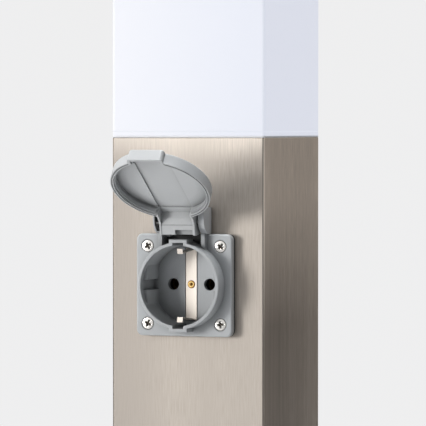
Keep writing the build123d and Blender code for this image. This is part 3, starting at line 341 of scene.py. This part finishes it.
def rivet_brass():
    """Brass with painted shade in the eyelet's dimple and at its edge, and bright between."""
    made = surface("rivet_brass", colour=(0.95, 0.66, 0.27), rough=0.24, grain=2000, contrast=0.08,
                   blotch=0.04, blotch_scale=150, bump=0.2, bump_mm=0.01, Metallic=1.0)
    tree = made.node_tree
    shader, plain = shader_and_colour(made)
    place = node(tree, "ShaderNodeVectorMath", operation="SUBTRACT")
    place.inputs[1].default_value = rivet_centre
    tree.links.new(node(tree, "ShaderNodeTexCoord").outputs["Object"], place.inputs[0])
    flat = node(tree, "ShaderNodeVectorMath", operation="MULTIPLY")
    flat.inputs[1].default_value = (1, 0, 1)
    tree.links.new(place.outputs["Vector"], flat.inputs[0])
    radius = node(tree, "ShaderNodeVectorMath", operation="LENGTH")
    tree.links.new(flat.outputs["Vector"], radius.inputs[0])
    # Painted shade in the dimple and at the edge
    dimple = spread(tree, radius.outputs["Value"], *rivet_dimple)
    edge = spread(tree, radius.outputs["Value"], *rivet_edge)
    inner = blend_colours(tree, dimple, rivet_painted_shade, plain)
    tree.links.new(blend_colours(tree, edge, inner, rivet_painted_shade), shader.inputs["Base Color"])
    return made


def opal():
    """Opal plastic with a painted glow, painted light that makes it whiter on one side, and painted shade
    that makes it less white at its top.
    """
    # Its emission is a painted glow, not a lamp
    made = surface("opal", colour=(0.20, 0.195, 0.185), rough=0.38, grain=400, contrast=0.008,
                   blotch=0.006, blotch_scale=12, bump=0.05, bump_mm=0.02, rough_spread=0.03, edge_mm=0.6,
                   Emission_Color=(0.835, 0.875, 1.0, 1.0), Emission_Strength=0.72)
    tree = made.node_tree
    shader, plain = shader_and_colour(made)
    place = node(tree, "ShaderNodeSeparateXYZ")
    tree.links.new(node(tree, "ShaderNodeTexCoord").outputs["Object"], place.inputs["Vector"])
    whiter = spread(tree, place.outputs["X"], *opal_painted_light_x)
    upper = spread(tree, place.outputs["Z"], *opal_painted_shade_z)
    sides = blend_colours(tree, whiter, plain, opal_painted_light)
    tree.links.new(blend_colours(tree, upper, sides, opal_painted_shade), shader.inputs["Base Color"])
    return made


plain_looks = {
    "base_steel": dict(colour=(0.50, 0.475, 0.445), rough=0.38, grain=1200, contrast=0.12, blotch=0.04,
                       blotch_scale=20, bump=0.2, bump_mm=0.02, stretch=(0.02, 1, 1), Metallic=1.0),
    "zinc_sheet": dict(colour=(0.62, 0.63, 0.64), rough=0.42, grain=90, contrast=0.10, blotch=0.05,
                       blotch_scale=30, bump=0.1, bump_mm=0.05, rough_spread=0.08, Metallic=1.0),
    "screw_steel": dict(colour=(0.74, 0.72, 0.69), rough=0.26, grain=2500, contrast=0.06, blotch=0.03,
                        blotch_scale=200, bump=0.2, bump_mm=0.01, Metallic=1.0),
    "grey_plastic": dict(colour=(0.47, 0.488, 0.502), rough=0.36, grain=2600, contrast=0.05, blotch=0.04,
                         blotch_scale=60, bump=0.35, bump_mm=0.03, rough_spread=0.05, edge_mm=0.3,
                         corner_mm=6.0),
    "lid_plastic": dict(colour=(0.51, 0.522, 0.53), rough=0.32, grain=2600, contrast=0.05, blotch=0.04,
                        blotch_scale=60, bump=0.35, bump_mm=0.03, rough_spread=0.05, edge_mm=0.3,
                        corner_mm=6.0),
    "seal_grey": dict(colour=(0.34, 0.35, 0.36), rough=0.6, grain=1500, contrast=0.06, blotch=0.02,
                      blotch_scale=60, bump=0.2, bump_mm=0.03, rough_spread=0.05),
    "gasket_black": dict(colour=(0.012, 0.012, 0.012), rough=0.7, grain=1800, contrast=0.3, blotch=0.05,
                         blotch_scale=60, bump=0.5, bump_mm=0.05, rough_spread=0.08),
    "earth_nickel": dict(colour=(0.65, 0.598, 0.542), rough=0.50, grain=2200, contrast=0.07, blotch=0.02,
                         blotch_scale=80, bump=0.2, bump_mm=0.01, stretch=(1, 1, 0.03), Metallic=1.0),
    "brass": dict(colour=(0.86, 0.58, 0.22), rough=0.28, grain=2000, contrast=0.08, blotch=0.04,
                  blotch_scale=150, bump=0.2, bump_mm=0.01, Metallic=1.0),
    "dark_pin": dict(colour=(0.10, 0.10, 0.10), rough=0.45, grain=2500, contrast=0.06, blotch=0.03,
                     blotch_scale=200, bump=0.2, bump_mm=0.01, Metallic=1.0),
    "brass_in_shade": dict(colour=(0.10, 0.065, 0.028), rough=0.42, grain=2000, contrast=0.08, blotch=0.04,
                      blotch_scale=150, bump=0.2, bump_mm=0.01, Metallic=1.0),
    "block_plastic": dict(colour=(0.07, 0.07, 0.075), rough=0.5, grain=2000, contrast=0.1, blotch=0.03,
                          blotch_scale=60, bump=0.3, bump_mm=0.03),
    "opal_seal": dict(colour=(0.80, 0.81, 0.84), rough=0.5, grain=900, contrast=0.02, blotch=0.01,
                      blotch_scale=30, bump=0.1, bump_mm=0.02, rough_spread=0.04),
    "white_plastic": dict(colour=(0.78, 0.78, 0.75), rough=0.4, grain=1500, contrast=0.02, blotch=0.02,
                          blotch_scale=40, bump=0.1, bump_mm=0.02, rough_spread=0.04),
    "lamp_glass": dict(colour=(0.85, 0.85, 0.82), rough=0.3, grain=500, contrast=0.01, blotch=0.01,
                       blotch_scale=20, bump=0.05, bump_mm=0.02, rough_spread=0.03),
    "wire_pvc": dict(colour=(0.16, 0.09, 0.05), rough=0.45, grain=1200, contrast=0.06, blotch=0.02,
                     blotch_scale=60, bump=0.1, bump_mm=0.02, rough_spread=0.05),
    "earth_pvc": dict(colour=(0.12, 0.32, 0.05), rough=0.45, grain=1200, contrast=0.06, blotch=0.02,
                      blotch_scale=60, bump=0.1, bump_mm=0.02, rough_spread=0.05),
    "floor_paint": dict(colour=backdrop_grey, rough=0.8, grain=300, contrast=0.01, blotch=0.004,
                        blotch_scale=3, bump=0.05, bump_mm=0.1, rough_spread=0.03),
}

materials = {name: surface(name, **look) for name, look in plain_looks.items()}
materials["brushed_post"] = brushed_post()
materials["rivet_brass"] = rivet_brass()
materials["opal"] = opal()

# The two contacts are painted dark as shade, so that the pin holes look dark
own_looks = {
    "line_contact": "brass_in_shade",
    "neutral_contact": "brass_in_shade",
    "hinge_pin": "dark_pin",
    "earth_rivet": "rivet_brass",
}
for subpart in frame["record"]["subparts"]:
    part = bpy.data.objects[subpart["node"]]
    look = own_looks.get(subpart["node"], subpart["material_slot"])
    for slot in part.material_slots:
        slot.material = materials[look]


def recess_share(x, y):
    """How deep the cross is cut at a point of the head, from 0 to 1."""
    along, across = max(abs(x), abs(y)), min(abs(x), abs(y))
    side = min(1.0, max(0.0, (recess_half_w + recess_slope - across) / recess_slope))
    reach = min(1.0, max(0.0, (recess_arm - along) / (recess_arm_slope * recess_arm)))
    return side * reach


def screw_point(radius, angle, height, is_top):
    """A point of a screw: across its axis, along it, and how much painted shade it has. Only the top has
    the cross.
    """
    x, y = radius * cos(angle), radius * sin(angle)
    share = recess_share(x, y) if is_top else 0.0
    crown = head_crown * (1 - (radius / screw_head_r) ** 2) if is_top else 0.0
    rim = min(1.0, max(0.0, (radius / screw_head_r - rim_from) / (1 - rim_from)))
    return x, y, height + crown - recess_depth * share, max(share, rim)


def screw_mesh():
    """Four screws from the middle of the head to the end of the shank, in rings of points."""
    rings = [(screw_head_r * head_face_share * step / head_rings, 0.0, True)
             for step in range(1, head_rings + 1)]
    rings.append((screw_head_r, -head_edge_h, False))
    rings.append((screw_shank_r, -screw_head_h, False))
    rings.append((screw_shank_r, -screw_length, False))
    half = screw_spacing / 2
    places = [(x, z) for x in (-half, half) for z in (-half, half)]
    points, faces, painted_shade = [], [], []
    for (across, up), turn in zip(places, screw_turns):
        cos_turn, sin_turn = cos(radians(turn)), sin(radians(turn))
        first = len(points)
        made = [screw_point(0.0, 0.0, 0.0, True)]
        for radius, height, is_top in rings:
            for step in range(points_around):
                made.append(screw_point(radius, tau * step / points_around, height, is_top))
        for x, y, level, dark in made:
            points.append((across + x * cos_turn - y * sin_turn, screw_face_y - level,
                           up + screw_middle_z + x * sin_turn + y * cos_turn))
            painted_shade.append(dark)
        for step in range(points_around):
            faces.append((first, first + 1 + (step + 1) % points_around, first + 1 + step))
        for ring in range(len(rings) - 1):
            low = first + 1 + ring * points_around
            high = low + points_around
            for step in range(points_around):
                after = (step + 1) % points_around
                faces.append((low + step, low + after, high + after, high + step))
        last = first + 1 + (len(rings) - 1) * points_around
        faces.append(tuple(last + step for step in range(points_around)))
    mesh = bpy.data.meshes.new("flange_screw_heads")
    mesh.from_pydata(points, [], faces)
    mesh.attributes.new("recess", "FLOAT", "POINT").data.foreach_set("value", painted_shade)
    for polygon in mesh.polygons:
        polygon.use_smooth = True
    return mesh


def screw_steel():
    """The steel of the other screws, with painted shade in the cross and at the head's rim."""
    made = surface("flange_screw_steel", **plain_looks["screw_steel"])
    tree = made.node_tree
    shader, plain = shader_and_colour(made)
    recess = node(tree, "ShaderNodeAttribute", attribute_name="recess")
    dark_share = spread(tree, recess.outputs["Fac"], *painted_shade_range)
    tree.links.new(blend_colours(tree, dark_share, plain, painted_shade_colour), shader.inputs["Base Color"])
    return made


# The flange screws of the CAD part are shown by these, with crowned heads and a tapered cross recess
heads = bpy.data.objects.new("flange_screw_heads", screw_mesh())
scene.collection.objects.link(heads)
heads.data.materials.append(screw_steel())
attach(heads, "post")
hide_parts("flange_screws")


def fade_to_backdrop(material):
    """Lets the camera see more of the plain backdrop grey the farther a point is from the post."""
    tree = material.node_tree
    glow = node(tree, "ShaderNodeEmission")
    glow.inputs["Color"].default_value = (*backdrop_grey, 1.0)
    from_post = node(tree, "ShaderNodeVectorMath", operation="LENGTH")
    tree.links.new(node(tree, "ShaderNodeTexCoord").outputs["Object"], from_post.inputs[0])
    far_share = spread(tree, from_post.outputs["Value"], *floor_fade, *floor_fade_share)
    seen = node(tree, "ShaderNodeLightPath").outputs["Is Camera Ray"]
    mixed = node(tree, "ShaderNodeMixShader")
    tree.links.new(combined(tree, "MULTIPLY", seen, far_share), mixed.inputs["Fac"])
    tree.links.new(tree.nodes["Principled BSDF"].outputs["BSDF"], mixed.inputs[1])
    tree.links.new(glow.outputs["Emission"], mixed.inputs[2])
    tree.links.new(mixed.outputs["Shader"], tree.nodes["Material Output"].inputs["Surface"])


fade_to_backdrop(materials["floor_paint"])
floor_corners = [(-floor_half, -floor_half, 0), (floor_half, -floor_half, 0),
                 (floor_half, floor_half, 0), (-floor_half, floor_half, 0)]
floor_mesh = bpy.data.meshes.new("floor")
floor_mesh.from_pydata(floor_corners, [], [(0, 1, 2, 3)])
floor_mesh.materials.append(materials["floor_paint"])
floor = bpy.data.objects.new("floor", floor_mesh)
scene.collection.objects.link(floor)


def studio_world():
    """A plain grey behind the object, and soft light that mirrors darker from one side behind it."""
    world = bpy.data.worlds.new("studio")
    world.use_nodes = True
    tree = world.node_tree
    to_dark = node(tree, "ShaderNodeVectorMath", operation="DOT_PRODUCT")
    to_dark.inputs[1].default_value = Vector(dark_side).normalized()
    tree.links.new(node(tree, "ShaderNodeTexCoord").outputs["Generated"], to_dark.inputs[0])
    dark_share = spread(tree, to_dark.outputs["Value"], *dark_side_range)
    mirrored = blend_colours(tree, dark_share, mirrored_bright, mirrored_dark)
    path = node(tree, "ShaderNodeLightPath")
    unseen = blend_colours(tree, path.outputs["Is Glossy Ray"], world_soft, mirrored)
    seen = blend_colours(tree, path.outputs["Is Camera Ray"], unseen, backdrop_grey)
    tree.links.new(seen, tree.nodes["Background"].inputs["Color"])
    return world


def area_lamp(name, place, watts, colour):
    """A square lamp aimed at the socket."""
    data = bpy.data.lights.new(name, "AREA")
    data.shape = "SQUARE"
    data.size = lamp_size
    data.energy = watts
    data.color = colour
    lamp = bpy.data.objects.new(name, data)
    lamp.location = place
    lamp.rotation_euler = (Vector(lamp_aim) - Vector(place)).to_track_quat("-Z", "Y").to_euler()
    scene.collection.objects.link(lamp)


scene.world = studio_world()
area_lamp("key_lamp", key_place, key_watts, key_colour)
area_lamp("top_lamp", top_place, top_watts, top_colour)

camera_data = bpy.data.cameras.new("camera")
camera_data.sensor_width = sensor_mm
camera_data.lens = sensor_mm * focal_px / picture_px
camera_data.clip_end = camera_reach
camera = bpy.data.objects.new("camera", camera_data)
camera.location = camera_place
camera.rotation_euler = Euler((radians(90 - camera_tilt), 0, radians(camera_heading)), "XYZ")
scene.collection.objects.link(camera)
scene.camera = camera
scene.view_settings.view_transform = "Standard"
